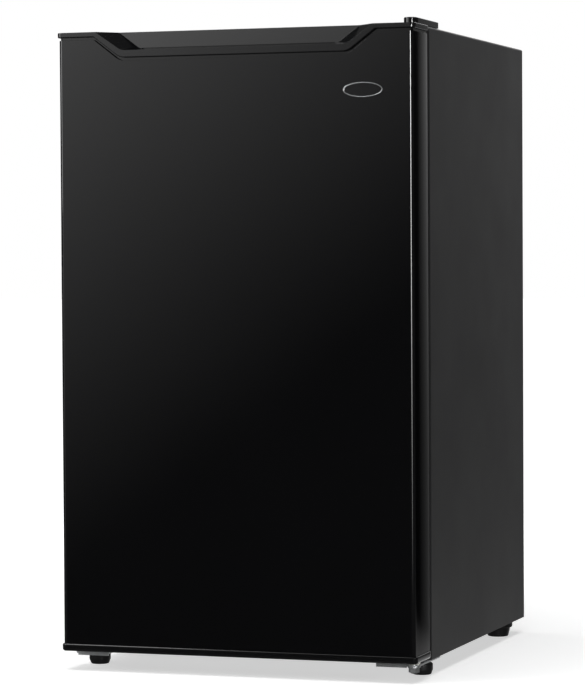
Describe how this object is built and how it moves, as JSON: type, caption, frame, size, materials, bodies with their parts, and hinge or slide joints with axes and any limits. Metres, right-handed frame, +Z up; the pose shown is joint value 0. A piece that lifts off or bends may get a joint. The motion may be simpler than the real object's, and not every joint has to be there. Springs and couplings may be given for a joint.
{
  "type": "compact refrigerator",
  "caption": "Counter-height compact fridge with a finger-pocket door, freezer box, glass shelves, door bins and levelling feet.",
  "frame": {"origin": "on the floor under the centre of the whole fridge", "axes": "+X to the hinge side, +Y from the door to the back, +Z up"},
  "size_m": [0.478, 0.55, 0.8285],
  "materials": {
    "cabinet_paint": "satin black paint",
    "door_paint": "high-gloss black paint",
    "black_cap": "moulded, satin gloss",
    "black_plastic": "moulded",
    "white_liner": "vacuum formed",
    "white_plastic": "moulded",
    "clear_plastic": "moulded, clear",
    "shelf_glass": "tempered",
    "zinc_plate": "zinc plated",
    "galvanised": "galvanised sheet",
    "steel_part": "bright",
    "compressor_paint": "stoved black enamel",
    "copper_tube": "drawn copper",
    "evaporator_sheet": "roll-bonded sheet",
    "foam": "rigid polyurethane foam",
    "rubber": "moulded",
    "gasket_vinyl": "extruded magnetic gasket",
    "nylon": "moulded",
    "red_plastic": "moulded",
    "chrome_trim": "plated"
  },
  "bodies": {
    "cabinet": {"outer_shell": "cabinet_paint", "rear_panel": "cabinet_paint", "base_plate": "galvanised", "machine_room_wall": "galvanised", "cabinet_foam": "foam", "cabinet_liner": "white_liner", "compressor_plate": "galvanised", "compressor": "compressor_paint", "compressor_grommets": "rubber", "relay_cover": "black_plastic", "filter_drier": "copper_tube", "capillary_tube": "copper_tube", "discharge_pipe": "copper_tube", "suction_pipe": "copper_tube", "condenser_coil": "copper_tube", "cord_gland": "rubber", "rear_feet": "black_plastic", "left_foot_bracket": "zinc_plate", "lower_hinge_bracket": "zinc_plate", "lower_hinge_pin": "steel_part", "hinge_pin_nut": "steel_part", "base_screws": "steel_part", "upper_hinge_bracket": "zinc_plate", "upper_hinge_pin": "steel_part", "upper_hinge_screws": "steel_part", "hinge_cover": "black_cap", "hole_plugs": "black_plastic", "evaporator_box": "evaporator_sheet", "evaporator_hangers": "white_plastic", "freezer_frame": "white_plastic", "thermostat_housing": "white_plastic", "crisper_cover": "shelf_glass"},
    "freezer_flap": {"freezer_flap": "clear_plastic"},
    "drip_tray": {"drip_tray": "clear_plastic"},
    "upper_shelf": {"upper_shelf_glass": "shelf_glass", "upper_shelf_trim": "white_plastic"},
    "lower_shelf": {"lower_shelf_glass": "shelf_glass", "lower_shelf_trim": "white_plastic"},
    "crisper_drawer": {"crisper_drawer": "clear_plastic"},
    "thermostat_knob": {"thermostat_knob": "white_plastic"},
    "defrost_button": {"defrost_button": "red_plastic"},
    "left_foot": {"left_foot_pad": "black_plastic", "left_foot_stud": "steel_part"},
    "right_foot": {"right_foot_pad": "black_plastic", "right_foot_stud": "steel_part"},
    "door": {"door_panel": "door_paint", "door_top_cap": "black_cap", "door_bottom_cap": "black_cap", "door_foam": "foam", "door_liner": "white_liner", "door_gasket": "gasket_vinyl", "badge_ring": "chrome_trim", "badge_plate": "black_cap", "upper_bush": "nylon", "lower_bush": "nylon", "door_hole_plug": "black_plastic", "upper_bin": "clear_plastic", "middle_bin": "clear_plastic", "bottle_bin": "clear_plastic", "bottle_retainer": "clear_plastic"}
  },
  "joints": [
    {"name": "door_swing", "type": "hinge", "parent": "cabinet", "child": "door", "pos_m": [0.225, -0.241, 0.42], "axis": [0, 0, 1], "range_deg": [0, 120]},
    {"name": "freezer_flap_swing", "type": "hinge", "parent": "cabinet", "child": "freezer_flap", "pos_m": [0, -0.068, 0.766], "axis": [-1, 0, 0], "range_deg": [0, 90]},
    {"name": "drip_tray_slide", "type": "slide", "parent": "cabinet", "child": "drip_tray", "axis": [0, -1, 0], "range_m": [0, 0.1]},
    {"name": "upper_shelf_slide", "type": "slide", "parent": "cabinet", "child": "upper_shelf", "axis": [0, -1, 0], "range_m": [0, 0.05]},
    {"name": "lower_shelf_slide", "type": "slide", "parent": "cabinet", "child": "lower_shelf", "axis": [0, -1, 0], "range_m": [0, 0.045]},
    {"name": "crisper_slide", "type": "slide", "parent": "cabinet", "child": "crisper_drawer", "axis": [0, -1, 0], "range_m": [0, 0.034]},
    {"name": "thermostat_turn", "type": "hinge", "parent": "cabinet", "child": "thermostat_knob", "pos_m": [0.16, 0, 0.578], "axis": [-1, 0, 0], "range_deg": [0, 270]},
    {"name": "defrost_push", "type": "slide", "parent": "thermostat_knob", "child": "defrost_button", "axis": [1, 0, 0], "range_m": [0, 0.003], "stiffness_N_per_m": 300},
    {"name": "left_foot_turn", "type": "hinge", "parent": "cabinet", "child": "left_foot", "pos_m": [-0.217, -0.1974, 0.01], "axis": [0, 0, 1], "continuous": true},
    {"name": "right_foot_turn", "type": "hinge", "parent": "cabinet", "child": "right_foot", "pos_m": [0.217, -0.178, 0.01], "axis": [0, 0, 1], "continuous": true}
  ]
}
